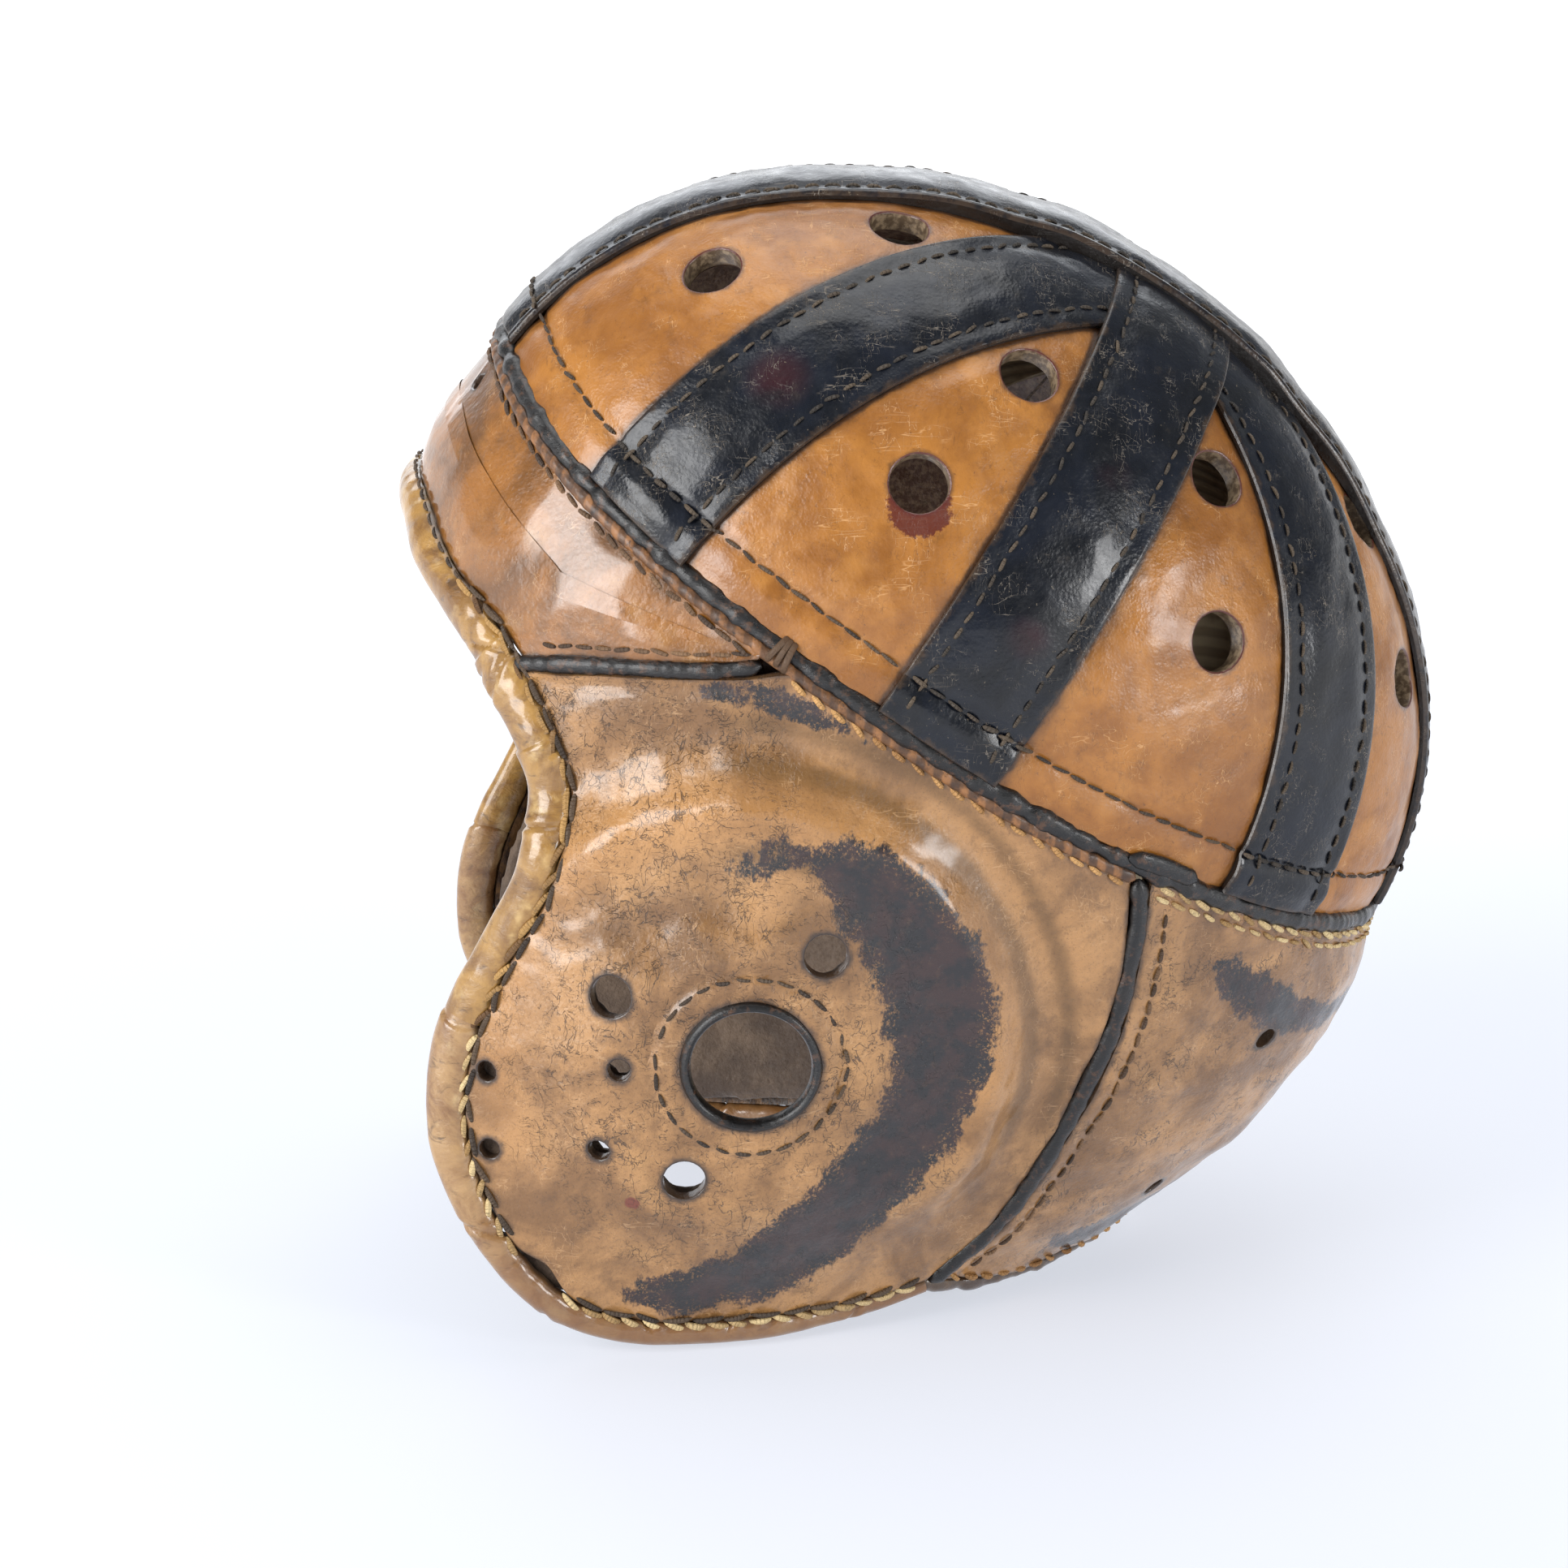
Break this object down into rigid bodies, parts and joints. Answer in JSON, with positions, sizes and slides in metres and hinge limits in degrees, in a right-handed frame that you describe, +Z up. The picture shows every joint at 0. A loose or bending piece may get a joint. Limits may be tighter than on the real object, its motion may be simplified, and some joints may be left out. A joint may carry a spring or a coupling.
{
  "type": "american football helmet",
  "caption": "Vintage leather football helmet: tan crown panels under black crossing straps, moulded ear flaps with ear holes, a padded brow and edge binding and a neck guard",
  "frame": {"origin": "on the table under the centre of the helmet's bounding box, as it stands on its ear flaps and neck edge", "axes": "+Z up, -Y is where the wearer looks, +X is the wearer's left"},
  "size_m": [0.1814, 0.2319, 0.2495],
  "materials": {
    "tan_leather": "glossy worn tan",
    "black_leather": "glossy worn black",
    "black_piping": "satin black",
    "fibre": "vulcanised fibre",
    "webbing": "woven cotton",
    "felt": "matted felt",
    "binding_leather": "satin worn",
    "sweatband_leather": "satin",
    "brown_leather": "semi-gloss worn"
  },
  "bodies": {
    "helmet": {"brow_binding": "binding_leather", "centre_strap": "black_leather", "crown_gore_front_left": "tan_leather", "crown_gore_front_middle_left": "tan_leather", "crown_gore_front_middle_right": "tan_leather", "crown_gore_front_right": "tan_leather", "crown_gore_rear_left": "tan_leather", "crown_gore_rear_middle_left": "tan_leather", "crown_gore_rear_middle_right": "tan_leather", "crown_gore_rear_right": "tan_leather", "crown_shell": "fibre", "crown_welt": "black_piping", "forehead_pad": "felt", "forehead_panel": "brown_leather", "front_strap_left": "black_leather", "front_strap_right": "black_leather", "middle_strap_left": "black_leather", "middle_strap_right": "black_leather", "neck_edge": "binding_leather", "neck_pad": "felt", "neck_panel": "brown_leather", "neck_welt_left": "black_piping", "neck_welt_right": "black_piping", "rear_binding_left": "binding_leather", "rear_binding_right": "binding_leather", "rear_strap_left": "black_leather", "rear_strap_right": "black_leather", "ridge_packing": "fibre", "side_pad_left": "felt", "side_pad_right": "felt", "side_panel_left": "brown_leather", "side_panel_right": "brown_leather", "sweatband": "sweatband_leather", "temple_welt_left": "black_piping", "temple_welt_right": "black_piping", "web_brow_to_nape": "webbing", "web_left_front": "webbing", "web_left_rear": "webbing"},
    "left_ear_flap": {"cheek_binding_left": "binding_leather", "ear_flap_left": "brown_leather", "ear_hole_rim_left": "black_piping", "ear_pad_left": "felt", "jaw_binding_left": "binding_leather"},
    "right_ear_flap": {"cheek_binding_right": "binding_leather", "ear_flap_right": "brown_leather", "ear_hole_rim_right": "black_piping", "ear_pad_right": "felt", "jaw_binding_right": "binding_leather"}
  },
  "joints": [
    {"name": "left_flap_flex", "type": "hinge", "parent": "helmet", "child": "left_ear_flap", "pos_m": [0.0915, -0.03, 0.1126], "axis": [0, -1, 0], "range_deg": [0, 20], "stiffness_Nm_per_rad": 2},
    {"name": "right_flap_flex", "type": "hinge", "parent": "helmet", "child": "right_ear_flap", "pos_m": [-0.0915, -0.03, 0.1126], "axis": [0, 1, 0], "range_deg": [0, 20], "stiffness_Nm_per_rad": 2}
  ]
}
